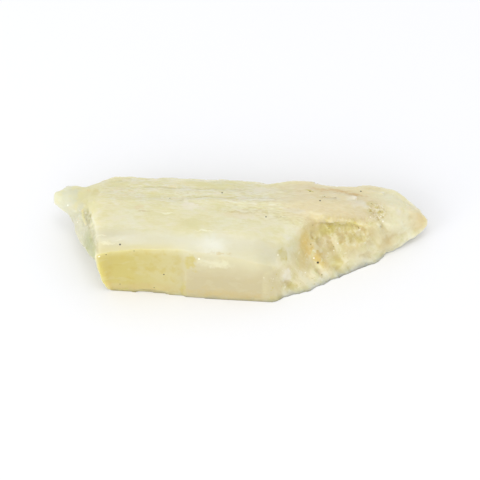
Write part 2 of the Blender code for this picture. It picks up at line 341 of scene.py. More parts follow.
def relief(name, space, depth, group, heights=(), kind="CLOUDS", settings=CLOUD):
    """Displaces the stone by a texture this many mm deep, within a vertex group."""
    texture = bpy.data.textures.new(name, kind)
    for setting, value in settings.items():
        setattr(texture, setting, value)
    if heights:
        terraces(texture, heights)
    modifier = stone.modifiers.new(name, "DISPLACE")
    modifier.texture = texture
    modifier.texture_coords = "OBJECT"
    modifier.texture_coords_object = space
    modifier.vertex_group = group + " group"
    modifier.strength = depth * MM
    modifier.mid_level = 0.5
    apply_all(stone)
    bpy.data.objects.remove(space)
    print(f"{name}: {depth} mm deep")


def press(group, depth):
    """Presses the stone in by this many millimetres, within a vertex group."""
    modifier = stone.modifiers.new(group, "DISPLACE")
    modifier.vertex_group = group + " group"
    modifier.strength = -depth * MM
    modifier.mid_level = 0.0
    apply_all(stone)
    print(f"{group}: pressed in {depth} mm")


# %% [markdown]
# ### Plates on the cleaved top
#
# The top is level, but no cleavage is perfect: plates end on it in low steps, and it
# swells a little between them. The wide forms come first and the fine ones last, here
# and below, so that each sits on the one before.

# %% Relief of the cleaved faces
PLATE_HEIGHTS = (0.1, 0.3, 0.45, 0.6, 0.75, 0.95)
LOW_HEIGHTS = (0.2, 0.35, 0.5, 0.65, 0.8)

relief("plate ends", grain_space((4.0, 1.4, 3)), 0.13, "plated", PLATE_HEIGHTS)
relief("swell", grain_space((4, 2.4, 2)), 0.16, "cleaved")
relief("cleavage steps", grain_space((2.0, 0.9, 0.9)), 0.04, "cleaved", LOW_HEIGHTS)


# %% [markdown]
# ### Splinters and crumbs on the broken end
#
# The break runs across the plates, so it comes off in splinters that slope down to the
# foot. Clouds alone would look like dough. A Voronoi texture that takes the nearest cell
# from the next nearest has cells with sharp creases between them, as splinters have. Its
# space is turned to run down the break. Smaller splinters, crumbs and the teeth of the
# lip follow.

# %% Relief of the broken end
SPLINTER_RUN = Vector((0.49, -0.11, -0.86)).normalized()
BREAK_OUT = Vector((0.61, -0.66, 0.43)).normalized()
CRACKLE = {"noise_scale": 1.0, "distance_metric": "DISTANCE", "weight_1": -1.0, "weight_2": 1.0}
TOOTH_HEIGHTS = (0.1, 0.35, 0.65, 0.9)

wide_grain = grain_space((3.4, 1.0, 1.0), SPLINTER_RUN, BREAK_OUT)
relief("splinters", wide_grain, 0.08, "coarse break", kind="VORONOI", settings=CRACKLE)
small_grain = grain_space((2.2, 0.8, 0.9), SPLINTER_RUN, BREAK_OUT)
relief("small splinters", small_grain, 0.10, "coarse break")
relief("crumb steps", grain_space((1.0, 0.8, 1.3)), 0.06, "crumbly", TOOTH_HEIGHTS)
relief("lip teeth", grain_space((0.8, 1.0, 1.0)), 0.28, "lip", TOOTH_HEIGHTS)


# %% [markdown]
# ### Lumps on the ends, steps on the back
#
# The left end is lumpy, and a crack parts it from the top. Small crumbs stand beside the
# crack and beside the knob. A crack could be cut with a Boolean, but it is shallow and
# ragged, so the skin is only pressed in there. The back is a pile of plate ends, which
# stretched terraces give. A fine grain goes over everything last.

# %% Relief of the ends, the back and the front
CRUMB_HEIGHTS = (0.1, 0.4, 0.6, 0.9)

relief("end lumps", grain_space((1.4, 1.6, 1.4)), 0.26, "end")
relief("end plates", grain_space((1.6, 1.1, 0.9)), 0.12, "end", CRUMB_HEIGHTS)
press("end crack", 0.18)
relief("end crumbs", grain_space((0.7, 0.6, 0.6)), 0.24, "beside the crack", CRUMB_HEIGHTS)
relief("cluster crumbs", grain_space((0.7, 0.6, 0.6)), 0.30, "crumb cluster", CRUMB_HEIGHTS)
relief("nub lumps", grain_space((2.0, 1.6, 1.6)), 0.34, "nub")
relief("nub plates", grain_space((1.4, 1.0, 1.2)), 0.08, "nub", CRUMB_HEIGHTS)
relief("knob lumps", grain_space((2.4, 2.0, 1.6)), 0.42, "knob")
relief("knob crumbs", grain_space((0.9, 0.7, 0.7)), 0.12, "knob")
relief("back steps", grain_space((5, 2, 0.7)), 0.30, "back", CRUMB_HEIGHTS)
relief("back grain", grain_space((1.5, 1, 0.6)), 0.12, "back")
relief("ragged foot", grain_space((1.1, 1.0, 0.8)), 0.30, "foot")
relief("front ripple", grain_space((2.5, 1.0, 1.4)), 0.08, "front")
relief("grain", grain_space((0.45, 0.35, 0.35)), 0.03, "off floor")


# %% [markdown]
# ## Hollows and edges
#
# Shade is painted into the cracks and dips, and broken edges are painted pale. The
# Pointiness of the Geometry node shows both, but it depends on how fine the mesh is. So it
# is measured here, before the mesh is thinned: a point is as hollow as it lies below the
# mean of its surroundings. A few rounds of that mean show the cracks between crumbs, and
# many rounds show the dips between splinters.

# %% Measure the hollows
FINE_ROUNDS = 5
WIDE_ROUNDS = 60
FINE_HOLLOW = 0.03 * MM  # a depth that counts as a full hollow
WIDE_HOLLOW = 0.12 * MM


def sunken(piece, rounds):
    """How far each point lies below the mean of its surroundings, in metres."""
    points = read(piece, "co")
    ends = np.empty(len(piece.data.edges) * 2, np.int32)
    piece.data.edges.foreach_get("vertices", ends)
    a, b = ends.reshape(-1, 2).T
    total = len(points)
    neighbours = np.bincount(a, minlength=total) + np.bincount(b, minlength=total)
    mean = points
    for _ in range(rounds):
        sums = [np.bincount(a, axis[b], total) + np.bincount(b, axis[a], total) for axis in mean.T]
        mean = np.stack(sums, 1) / neighbours[:, None]
    return ((mean - points) * read(piece, "normal")).sum(1)


fine = sunken(stone, FINE_ROUNDS) / FINE_HOLLOW
wide = sunken(stone, WIDE_ROUNDS) / WIDE_HOLLOW
paint(stone, "cracks", fine)
paint(stone, "edges", -fine)
paint(stone, "dips", wide)


# %% [markdown]
# ## Thin the mesh and keep it in its box
#
# The remesh spends as many points on a flat cleavage as on the splinters. Decimate takes
# them away where the skin is flat. Then every point is held inside the solid's own box,
# so the dressed stone is no larger than the construction, and rests on the same plane.

# %% Thin and hold
MOST_TRIANGLES = 190_000


def triangles(piece):
    """How many triangles a piece has."""
    piece.data.calc_loop_triangles()
    return len(piece.data.loop_triangles)


def thin(piece, target):
    """Collapses edges until the piece has about this many triangles."""
    modifier = piece.modifiers.new("thin", "DECIMATE")
    modifier.ratio = min(1.0, target / triangles(piece))
    apply_all(piece)


def hold(piece, low, high):
    """Moves every point that is outside a box back to its side."""
    points = np.clip(read(piece, "co"), np.array(low), np.array(high))
    piece.data.vertices.foreach_set("co", points.ravel())
    piece.data.update()


thin(stone, MOST_TRIANGLES)
hold(stone, LOW, HIGH)
stone.data.shade_smooth()
stone.vertex_groups.clear()
print(f"the stone has {triangles(stone)} triangles")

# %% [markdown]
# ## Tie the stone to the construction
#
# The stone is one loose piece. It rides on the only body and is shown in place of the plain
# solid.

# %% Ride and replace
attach(stone, BODY)
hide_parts(SOLID)
print(f"{stone.name} stands in for {SOLID}")


# %% [markdown]
# ## Shader maths as Python
#
# A procedural finish is mostly arithmetic on positions. It could be wired by hand in the
# shader editor, but this one has hundreds of nodes. Wrapping a socket in a small class
# lets the arithmetic be written as an expression, and each operator adds its Math node.

# %% A socket that does arithmetic
class Value:
    """A socket of a node, which adds Math nodes when it is used in an expression."""

    def __init__(self, finish, socket):
        self.finish = finish
        self.socket = socket

    def math(self, operation, *others):
        """Adds a Math node that this socket feeds first."""
        inputs = dict(enumerate((self, *others)))
        return self.finish.node("ShaderNodeMath", {"operation": operation}, inputs)

    def __add__(self, other):
        return self.math("ADD", other)

    def __sub__(self, other):
        return self.math("SUBTRACT", other)

    def __rsub__(self, other):
        return (self * -1).math("ADD", other)

    def __mul__(self, other):
        return self.math("MULTIPLY", other)

    def above(self, other):
        """The larger of two values."""
        return self.math("MAXIMUM", other)

    __radd__ = __add__
    __rmul__ = __mul__


print("a Value can be added, taken away, multiplied and compared")


# %% A finish and its nodes
MIX_FIRST, MIX_SECOND = 6, 7  # the sockets of a Mix node that take colours
MIX_COLOUR = 2  # and the one that gives a colour


class Finish:
    """A material, its node tree, and the colour that its stains build up."""

    def __init__(self, name):
        self.material = bpy.data.materials.new(name)
        self.material.use_nodes = True
        self.tree = self.material.node_tree
        self.shader = self.tree.nodes["Principled BSDF"]
        self.colour = None

    def node(self, kind, settings=(), inputs=(), output=0):
        """Adds a node: its settings first, then its sockets' values or links."""
        made = self.tree.nodes.new(kind)
        for name, value in dict(settings).items():
            setattr(made, name, value)
        for name, value in dict(inputs).items():
            self.feed(made.inputs[name], value)
        return Value(self, made.outputs[output])

    def feed(self, socket, value):
        """Links a Value to a socket, or sets a plain number or colour on it."""
        if isinstance(value, Value):
            self.tree.links.new(value.socket, socket)
        else:
            socket.default_value = value

    def coat(self, **inputs):
        """Sets the shader's sockets. A name's underscores stand for spaces."""
        for name, value in inputs.items():
            self.feed(self.shader.inputs[name.replace("_", " ")], value)

    def painted(self, name):
        """What was painted on the mesh under this name."""
        return self.node("ShaderNodeAttribute", {"attribute_name": name}, {}, "Fac")

    def rise(self, value, start, end):
        """0 before start and 1 after end, with a soft curve between."""
        settings = {"interpolation_type": "SMOOTHSTEP"}
        return self.node("ShaderNodeMapRange", settings, {0: value, 1: start, 2: end})

    def noise(self, vector, scale=1.0, detail=2.0, roughness=0.5):
        """A noise from about 0.2 to 0.8, round one half."""
        inputs = {"Vector": vector, "Scale": scale, "Detail": detail, "Roughness": roughness}
        return self.node("ShaderNodeTexNoise", {}, inputs)

    def mix(self, share, first, second):
        """A colour between two others."""
        inputs = {"Factor": share, MIX_FIRST: first, MIX_SECOND: second}
        return self.node("ShaderNodeMix", {"data_type": "RGBA"}, inputs, MIX_COLOUR)

    def stain(self, share, colour, strength=1):
        """Lays a colour over what is there already."""
        if strength != 1:
            share = share * strength
        self.colour = self.mix(share, self.colour, colour)


# %% [markdown]
# ## The feldspar
#
# The stone is one material with many stains. Its clean cleavage is a pale cream. The
# front is stained ochre on the left and tan on the right, the hollow of the broken end
# is brown, and the thin ends, where light comes through, are a pale yellow green. A
# painted image would hold all this too, but would blur close up. So each stain is a
# colour and a mask, laid over the last one, and the masks are read from the place.

# %% Places for the material
skin = Finish("oligoclase_feldspar")
spot = skin.node("ShaderNodeTexCoord", {}, {}, "Object")
mm = skin.node("ShaderNodeVectorMath", {"operation": "SCALE"}, {0: spot, "Scale": 1 / MM})
percent = [100 / side for side in SIZE]
share = skin.node("ShaderNodeVectorMath", {"operation": "MULTIPLY"}, {0: spot, 1: percent})
x, y, z = (skin.node("ShaderNodeSeparateXYZ", {}, {0: share}, axis) for axis in range(3))

PAINTED = ("broken", "front", "end", "nub", "knob", "lip", "end crack", "crumb cluster",
           "cracks", "edges", "dips")
face = {name: skin.painted(name) for name in PAINTED}


def daylight(red, green, blue):
    """A colour named by its screen values, 0 to 255, taken off the sRGB curve for the shader."""
    shares = [c / 255 for c in (red, green, blue)]
    return (*[(s / 12.92 if s <= 0.04045 else ((s + 0.055) / 1.055) ** 2.4) for s in shares], 1.0)


print(f"{len(face)} painted faces are read back")


# %% [markdown]
# ### Grains
#
# Everything on a cleavage is drawn out along it: plates, slips between plates, and the
# hair-thin dashes where one ends. A Mapping node stretches a noise the same way. Plain
# noises give the mottle and blotches of the stain, and wobbles that are added to a place
# make a straight border wander.

# %% Grains
def stretched(size, turn=(0, 0, 0)):
    """The position in a grain's own turned space, whose unit is size, in millimetres."""
    inputs = {"Vector": mm, "Rotation": turn, "Scale": size}
    return skin.node("ShaderNodeMapping", {"vector_type": "TEXTURE"}, inputs)


wobble = (skin.noise(mm, 0.35, 3.0) - 0.5) * 2
fine_wobble = (skin.noise(mm, 1.5, 3.0) - 0.5) * 2
broad = skin.noise(stretched((6, 3.5, 3.5)))
patches = skin.noise(stretched((2.4, 1.3, 1.3)), detail=3.0, roughness=0.6)
slips = skin.noise(stretched((1.9, 0.5, 0.6)), detail=3.0, roughness=0.6)
flakes = skin.noise(stretched((1.0, 0.28, 0.4)))
dashes = skin.noise(stretched((1.1, 0.13, 0.25)), detail=1.0)
mottle = skin.noise(mm, 1.1, 4.0, 0.65)
blotches = skin.noise(mm, 0.55, 3.0, 0.6)
print(f"{sum(n.type == 'TEX_NOISE' for n in skin.tree.nodes)} noises")


# %% [markdown]
# ### The cleaved top
#
# Real feldspar is milky, with cooler and warmer cream in broad patches. Thin plates with
# air or a film of stain under them look olive, lilac or pinkish, in streaks along the
# blade, and more of them show on the back half. The rounded shoulder in front is painted
# a little darker and greyer, as painted shade that holds back the lamps, which light it
# more than the top. One noise for each kind of streak keeps each easy to turn up or down.

# %% The cleaved top
CREAM = daylight(221, 216, 178)
COOL = daylight(222, 219, 190)
LILAC = daylight(225, 220, 202)
OLIVE = daylight(213, 207, 156)
PINKISH = daylight(218, 205, 168)
BROWN = daylight(199, 184, 132)
SHEEN = daylight(222, 222, 208)
TAN = daylight(201, 190, 151)
DASH = daylight(232, 230, 205)
SHOULDER_PAINTED_SHADE = daylight(208, 204, 177)

skin.colour = skin.mix(skin.rise(broad, 0.36, 0.62), COOL, CREAM)
skin.stain(skin.rise(patches, 0.51, 0.58), OLIVE, 0.4)
skin.stain(skin.rise(patches, 0.47, 0.40), LILAC, 0.4)
back_half = skin.rise(y + wobble * 10, -10, 14)
skin.stain(skin.rise(slips, 0.52, 0.58) * (back_half * 0.35 + 0.15), OLIVE)
skin.stain(skin.rise(slips, 0.46, 0.40) * (back_half * 0.4 + 0.1), PINKISH)
skin.stain(skin.rise(flakes, 0.56, 0.62) * (back_half * 0.4 + 0.2), OLIVE)
skin.stain(skin.rise(flakes, 0.44, 0.38) * (back_half * 0.3 + 0.2), LILAC)
skin.stain(skin.rise(dashes, 0.64, 0.69) * (back_half * 0.5 + 0.1), BROWN)
skin.stain(skin.rise(dashes, 0.36, 0.31) * (back_half * 0.5 + 0.2), SHEEN)
woody = skin.rise(x + wobble * 8, -4, 10) * skin.rise(y + wobble * 8, -14, 0)
skin.stain(skin.rise(dashes, 0.54, 0.6) * woody, TAN, 0.6)
skin.stain(skin.rise(dashes, 0.46, 0.4) * woody, DASH, 0.5)
rim = skin.rise(y + wobble * 4, 22, 32)
skin.stain(rim * skin.rise(blotches, 0.42, 0.56), OLIVE, 0.35)
right_back = skin.rise(x + wobble * 8, 6, 17) * skin.rise(y + wobble * 8, -8, 4)
skin.stain(right_back, PINKISH, 0.7)
# Painted shade: the shoulder is darkened where the front lamps light it most.
shoulder_painted_shade = skin.rise(y + wobble * 3, -22, -33) * skin.rise(z, 60, 80)
skin.stain(shoulder_painted_shade, SHOULDER_PAINTED_SHADE, 0.8)
print(f"{len(skin.tree.nodes)} nodes after the top")


# %% [markdown]
# ### The stained front
#
# Iron has stained the front ochre, left of a low step, and tan on the right of it. Each
# is paler towards the top and rusty along the foot. A soft hem carries the ochre over the
# upper edge, because a stain soaks in and doesn't stop at an arris.

# %% The stained front
TAN_PALE = daylight(212, 206, 172)
TAN_RUST = daylight(206, 186, 130)
OCHRE = daylight(203, 190, 114)
OCHRE_PALE = daylight(208, 199, 148)
OCHRE_DEEP = daylight(196, 176, 78)

tan = skin.mix(skin.rise(z + wobble * 12, 40, 80), TAN, TAN_PALE)
skin.stain(face["front"], tan)
skin.stain(face["front"] * skin.rise(patches, 0.47, 0.38), TAN_PALE, 0.25)

left = skin.rise(x + wobble * 3, -11, -17)
hem = left * skin.rise(x, -37, -35) * skin.rise(z + wobble * 4, 97, 86) * skin.rise(y, -32, -39)
skin.stain(hem, OCHRE_PALE, 0.8)
ochre = skin.mix(skin.rise(x + wobble * 4, -31, -14), OCHRE, OCHRE_PALE)
front_left = face["front"] * left
skin.stain(front_left, ochre)
skin.stain(front_left * skin.rise(blotches, 0.48, 0.68), OCHRE_DEEP, 0.4)
skin.stain(front_left * skin.rise(patches, 0.48, 0.38), OCHRE_PALE, 0.4)
skin.stain(front_left * skin.rise(z + wobble * 4, 74, 92), CREAM, 0.4)
foot = face["front"] * skin.rise(z + wobble * 8, 30, 8)
skin.stain(foot * skin.rise(mottle, 0.42, 0.58), TAN_RUST, 0.6)
print(f"{len(skin.tree.nodes)} nodes after the front")


# %% [markdown]
# ### The broken end
#
# Splinters leave pale and brown ribs that run down the break. The hollow under the lip
# holds more stain. The foot of the break, where the stone is thin, holds less, and its
# paler colour is also painted light that lifts the shade there. Olive hairs and crumbs
# gather at the lip, whose rim is painted darker as painted shade against the lamps. The
# ribs could follow the relief, but on the real stone the colour crosses the splinters in
# places, so they have a noise of their own, turned to run the same way.

# %% The broken end
BREAK_CREAM = daylight(216, 207, 166)
BREAK_PALE = daylight(228, 223, 198)
HOLLOW = daylight(213, 196, 138)
PALE_FOOT_AND_PAINTED_LIGHT = daylight(234, 226, 193)
LIP_RIM_PAINTED_SHADE = daylight(205, 191, 148)
OLIVE_DEEP = daylight(197, 185, 108)
RIB_LEAN = math.radians(30)
HAIR_TURN = math.radians(35)

skin.stain(face["broken"], BREAK_CREAM)
hollow = face["broken"] * skin.rise(x, 15.5, 17.5) * skin.rise(x + wobble * 4, 38, 31)
skin.stain(hollow * skin.rise(z + wobble * 10, 22, 45), HOLLOW, 0.75)
# Paler at the foot of the break: less stain there, and painted light against its shade.
pale_and_lit_foot = skin.rise(x, 12, 18) * skin.rise(z + wobble * 10, 38, 14)
skin.stain(face["broken"] * pale_and_lit_foot, PALE_FOOT_AND_PAINTED_LIGHT, 0.75)
skin.stain(face["broken"] * skin.rise(blotches, 0.5, 0.56), OLIVE, 0.6)

ribs = skin.noise(stretched((0.9, 1.1, 4.5), (0, -RIB_LEAN, 0)), detail=3.0)
skin.stain(face["broken"] * skin.rise(ribs, 0.49, 0.43), BREAK_PALE, 0.4)
skin.stain(face["broken"] * skin.rise(ribs, 0.53, 0.6), BROWN, 0.3)
skin.stain(face["broken"] * skin.rise(x, 14, 9), tan)

# The lip's rim is painted darker, as painted shade against the lamps that catch it.
skin.stain(face["lip"] * skin.rise(z, 72, 79) * skin.rise(x, 18, 22), LIP_RIM_PAINTED_SHADE, 0.8)
hairs = skin.noise(stretched((0.4, 1.3, 1.3), (0, 0, -HAIR_TURN)))
hairy = face["lip"] * skin.rise(hairs, 0.54, 0.66)
skin.stain(hairy * skin.rise(patches, 0.42, 0.56), OLIVE_DEEP, 0.5)
crumbs = skin.noise(mm, 2.2, 1.0)
skin.stain(face["broken"] * skin.rise(crumbs, 0.66, 0.72), BREAK_PALE, 0.7)
skin.stain(face["broken"] * skin.rise(crumbs, 0.33, 0.28), OLIVE_DEEP, 0.6)
print(f"{len(skin.tree.nodes)} nodes after the broken end")


# %% [markdown]
# ### The thin ends
#
# Light comes through the nub, the left end and the knob, so they look paler and greener
# than the rest. The scattering that is set up further down lightens them only a little,
# so their colour is painted light that helps it along. The left end is also painted
# darker towards its undercut front, as painted shade. The crack between the left end and
# the top is painted darker along its line, broken up by the mottle.

# %% The thin ends
NUB_GREEN = daylight(208, 208, 184)
NUB_OLIVE = daylight(214, 209, 164)
END_GREEN = daylight(206, 204, 178)
END_FRONT_PAINTED_SHADE = daylight(180, 182, 140)
CRACK = daylight(178, 179, 142)
TIP_CREAM = daylight(226, 223, 193)

nub_olive = skin.rise(x + wobble * 4 + blotches * 10, -40.5, -37)
skin.stain(face["nub"], skin.mix(nub_olive, NUB_GREEN, NUB_OLIVE))
# Painted shade: the left end darkens towards its undercut front.
end_green_and_painted_shade = skin.mix(skin.rise(y + wobble * 6, -16, -30), END_GREEN, END_FRONT_PAINTED_SHADE)
from_crack = x + y * END_SLANT - END_MIDDLE + fine_wobble * 0.5
skin.stain(face["end"] * skin.rise(from_crack, 0.4, -0.6), end_green_and_painted_shade)
skin.stain(face["end crack"] * skin.rise(mottle, 0.35, 0.6), CRACK, 0.6)
skin.stain(face["knob"], TIP_CREAM, 0.7)
skin.stain(face["knob"] * skin.rise(blotches, 0.53, 0.62), OLIVE, 0.4)
print(f"{len(skin.tree.nodes)} nodes after the ends")


# %% [markdown]
# ### Stains with a place of their own
#
# The larger patches each have a place, as birthmarks do, and noise can't be told where to
# put them. Each is an ellipsoid, given by its place on the stone, its reach and its
# colour. A plain ellipsoid would look like a sticker. So the position is moved about
# first, the mottle bites into the edge, and the patches of the top show through.

# %% Lay a stain at a place
STRAY = 1.4  # how far, in mm, a stain's edge may wander in all
BITE = 1.6  # how deep the mottle eats into a stain's edge, in reaches
TORN_EDGE = (1.2, 0.5)  # how far out a stain starts and is full, in reaches
FADED_EDGE = (1.0, 0.0)


def strayed(amount, scale, detail):
    """The position in mm, moved about by a noise by up to half this amount each way."""
    inputs = {"Vector": mm, "Scale": scale, "Detail": detail}
    wander = skin.node("ShaderNodeTexNoise", {}, inputs, "Color")
    halfway = {0: wander, 1: (0.5, 0.5, 0.5)}
    middled = skin.node("ShaderNodeVectorMath", {"operation": "SUBTRACT"}, halfway)
    inputs = {0: middled, 1: (amount, amount, amount), 2: mm}
    return skin.node("ShaderNodeVectorMath", {"operation": "MULTIPLY_ADD"}, inputs)


def apart(position, centre, reach=(1, 1, 1)):
    """How far a position is from a centre, in reaches."""
    offset = skin.node("ShaderNodeVectorMath", {"operation": "SUBTRACT"}, {0: position, 1: centre})
    reaches = skin.node("ShaderNodeVectorMath", {"operation": "DIVIDE"}, {0: offset, 1: reach})
    return skin.node("ShaderNodeVectorMath", {"operation": "LENGTH"}, {0: reaches}, "Value")


ragged = strayed(STRAY, 1.1, 4.0)
bitten = (mottle - 0.5) * BITE
thinned = skin.rise(patches, 0.4, 0.6) * 0.4 + 0.65


def lay(rows):
    """Lays torn stains. A row is a place in percent, a reach in mm, a colour and a strength."""
    for at, reach, colour, strength in rows:
        distance = apart(ragged, place(*at) / MM, reach) + bitten
        skin.stain(skin.rise(distance, *TORN_EDGE) * thinned, colour, strength)
    print(f"{len(rows)} stains laid")


def lay_faded(rows):
    """Lays stains whose edges fade. The rows are as for lay."""
    for at, reach, colour, strength in rows:
        distance = apart(ragged, place(*at) / MM, reach)
        skin.stain(skin.rise(distance, *FADED_EDGE), colour, strength)
    print(f"{len(rows)} faded stains laid")


print(f"a stain's edge wanders by up to {STRAY / 2} mm each way")


# %% [markdown]
# ### Patches of the top and its back rim
#
# A few lilac and olive patches stand out on the top, with short brown slips between
# them. The back rim is olive, and rust runs along it on the right. At the left of the
# top and in the middle, pale dashes mark where a plate ends.

# %% Patches of the top
lay((
    ((-13.3, 2.2, 97), (1.3, 1.0, 1.0), LILAC, 0.8),
    ((-26.5, -1.8, 98), (0.9, 0.5, 1.0), PINKISH, 0.7),
    ((-24.8, -5.8, 98), (1.2, 0.22, 1.0), BROWN, 0.6),
    ((-29.6, 6.9, 95), (1.6, 0.9, 1.0), OLIVE, 0.7),
    ((-22.7, 14.8, 91), (1.6, 0.8, 1.0), OLIVE, 0.6),
    ((-11.1, -18.4, 100), (3.0, 1.6, 1.0), OLIVE, 0.5),
    ((-6.4, 4.6, 97), (1.8, 1.4, 1.0), OLIVE, 0.6),
    ((0.5, -4.6, 98), (3.0, 0.7, 1.0), PINKISH, 0.6),
    ((0.8, -1.3, 97), (3.2, 0.16, 1.0), BROWN, 0.6),
    ((7.0, 0.7, 96), (0.6, 0.6, 1.0), OLIVE_DEEP, 0.6),
    ((0.8, 16.7, 90), (1.0, 0.5, 1.0), LILAC, 0.8),
    ((5.4, 14.5, 95), (1.6, 0.5, 1.0), LILAC, 0.7),
    ((5.5, 31.5, 79), (2.2, 1.2, 1.0), LILAC, 0.6),
    ((15.2, 5.3, 92), (1.8, 0.5, 1.0), LILAC, 0.5),
    ((31, 24, 80), (1.8, 1.4, 1.2), LILAC, 0.6),
))

# %% The back rim
RUST_STREAK = daylight(207, 183, 134)

lay((
    ((-38.5, 16.9, 86), (0.8, 1.2, 1.5), OLIVE_DEEP, 0.4),
    ((-33.8, 28.1, 82), (2.4, 1.2, 1.5), OLIVE, 0.7),
    ((-7.9, 35.2, 81), (5.0, 1.4, 1.5), OLIVE, 0.7),
    ((21, 35, 79), (2.2, 0.4, 0.7), RUST_STREAK, 0.9),
    ((25.5, 36.6, 75), (2.4, 0.4, 0.7), RUST_STREAK, 0.9),
    ((30, 34.4, 74), (1.8, 0.4, 0.7), RUST_STREAK, 0.9),
    ((18.5, 31, 82), (0.9, 0.25, 0.6), OLIVE_DEEP, 1.0),
    ((21.3, 22, 88), (0.7, 0.22, 0.6), OLIVE_DEEP, 0.9),
))

# %% Plate ends
lay((
    ((-36.0, -33.0, 96), (1.0, 0.16, 0.5), DASH, 0.6),
    ((-33.5, -39.0, 93), (1.3, 0.16, 0.5), DASH, 0.6),
    ((-30.6, -36.5, 95), (0.9, 0.14, 0.5), DASH, 0.5),
    ((-8.5, -23.6, 99), (1.4, 0.2, 0.6), DASH, 0.8),
    ((-18.9, -7.4, 98), (1.2, 0.16, 0.6), DASH, 0.7),
    ((3.2, -6.6, 97), (1.8, 0.5, 0.6), LILAC, 0.6),
))


# %% [markdown]
# ### Stains of the broken end and the knob
#
# Olive stain sits in the ragged lip, and rust runs down the left side of the hollow.
# Lower down, pale and olive patches take turns. A few olive spots lie beside the knob.

# %% The ragged lip
lay((
    ((23.1, -1.3, 66), (1.4, 1.0, 1.0), OLIVE_DEEP, 0.9),
    ((25.6, 3.7, 70), (1.3, 0.9, 1.0), OLIVE_DEEP, 0.9),
    ((29.6, 3.4, 68), (1.9, 1.0, 1.2), OLIVE_DEEP, 0.9),
    ((30.2, -0.9, 50), (1.2, 0.8, 1.0), OLIVE_DEEP, 0.6),
    ((20.6, -4.0, 62), (0.8, 0.8, 1.2), OLIVE_DEEP, 0.5),
    ((32.4, 0.5, 48), (0.8, 0.7, 0.9), OLIVE_DEEP, 0.7),
))

# %% Rust, and what lies below it
ORANGE = daylight(211, 184, 104)

lay((
    ((18.0, -15.0, 58), (0.8, 0.9, 1.0), ORANGE, 0.6),
    ((19.4, -15.6, 48), (0.9, 1.0, 1.1), ORANGE, 0.75),
    ((21.6, -18, 37), (1.1, 1.0, 1.1), ORANGE, 0.85),
    ((23.5, -21, 27), (1.0, 1.0, 1.1), ORANGE, 0.45),
    ((23.2, -6.8, 50), (1.2, 1.0, 1.0), PINKISH, 0.6),
    ((26.2, -15.0, 25), (1.4, 1.3, 1.7), OLIVE_DEEP, 0.7),
    ((12.5, -31.7, 71), (1.3, 1.0, 1.2), OLIVE_DEEP, 0.75),
    ((11.4, -36.5, 62), (0.6, 0.8, 1.6), BREAK_PALE, 0.7),
    ((13.6, -39.0, 38), (1.1, 1.0, 1.3), LILAC, 0.9),
    ((14.8, -39.5, 14), (1.2, 0.9, 0.7), OLIVE_DEEP, 0.7),
))

# %% Beside the knob
lay((
    ((34.8, 26.0, 75), (0.9, 0.6, 0.8), OLIVE_DEEP, 0.6),
    ((37.6, 18.2, 68), (0.7, 0.6, 0.8), OLIVE_DEEP, 0.6),
    ((42.3, 26.0, 52), (0.8, 0.5, 1.2), LILAC, 0.8),
))


# %% [markdown]
# ### Stains of the front and the nub
#
# Ochre has soaked in along the step in the front. A chip out of the upper edge shows
# clean stone with a brown line above it. Rust follows the foot, and the nub has one
# olive patch.

# %% Round the step in the front
lay((
    ((-11.8, -43.2, 66), (0.9, 0.8, 2.2), OCHRE, 0.9),
    ((-13.6, -47.9, 14), (0.5, 1.0, 1.8), OCHRE, 0.6),
))

# %% The chip
lay((
    ((-5.6, -44.6, 71), (2.8, 0.8, 0.9), TIP_CREAM, 0.7),
    ((-4.4, -41.8, 86), (2.6, 0.5, 0.16), BROWN, 0.8),
))

# %% The foot, and the nub last
lay((
    ((10.6, -49, 4), (1.2, 1.2, 0.7), OLIVE_DEEP, 0.6),
    ((-22.5, -47.3, 10), (4.5, 1.2, 1.5), TAN_RUST, 0.5),
    ((-1.1, -49.7, 7), (7.0, 1.2, 1.3), TAN_RUST, 0.5),
    ((-48.5, 22, 62), (0.8, 1.4, 1.2), OLIVE, 0.5),
))


# %% [markdown]
# ### Sheen on the shoulder and soft rust
#
# The shoulder has a pearly sheen in the middle. A sheen is light and not stain, and a
# brighter lamp would make one, but it would move with the view. As a pale patch it stays
# where the cleavage is cleanest. Rust in the far tip and round the hollow has soaked in
# deep, so its edges fade as well.

# %% Stains that fade
TIP_RUST = daylight(208, 192, 148)

lay_faded((
    ((-6.2, -34.3, 93), (3.4, 2.0, 3.0), SHEEN, 0.9),
    ((-10, -34, 93), (9.0, 2.2, 3.0), SHEEN, 0.4),
    ((-28.5, -35.6, 95), (5.0, 1.2, 2.0), SHEEN, 0.3),
    ((48.7, 29.5, 36), (3.2, 3.2, 3.8), TIP_RUST, 0.9),
    ((39.8, 8, 26), (3.0, 2.4, 3.0), TAN_RUST, 0.7),
    ((17.7, -11.0, 64), (1.8, 2.6, 3.6), ORANGE, 0.6),
    ((19.8, -1.8, 71), (2.0, 2.0, 3.0), HOLLOW, 0.9),
    ((30.4, -6.9, 36), (3.4, 2.8, 3.4), TAN, 0.3),
    # paler at the foot of the break, partly painted light against the shade there
    ((32.5, -7.8, 16), (2.6, 2.4, 2.6), PALE_FOOT_AND_PAINTED_LIGHT, 0.7),
    ((40, 37, 63), (5.0, 2.2, 3.0), COOL, 1.0),
))


# %% [markdown]
# ### Cracks and edges
#
# Shade is painted into the cracks between crumbs and the dips between splinters, and
# raised edges are painted paler. Both follow the relief, so they come from the hollows
# that were measured on the mesh, and not from a noise.

# %% Cracks and edges
crumbed = face["crumb cluster"].above(face["end crack"] * 0.5)
skin.stain(face["crumb cluster"] * skin.rise(mottle, 0.46, 0.56), OLIVE_DEEP, 0.6)
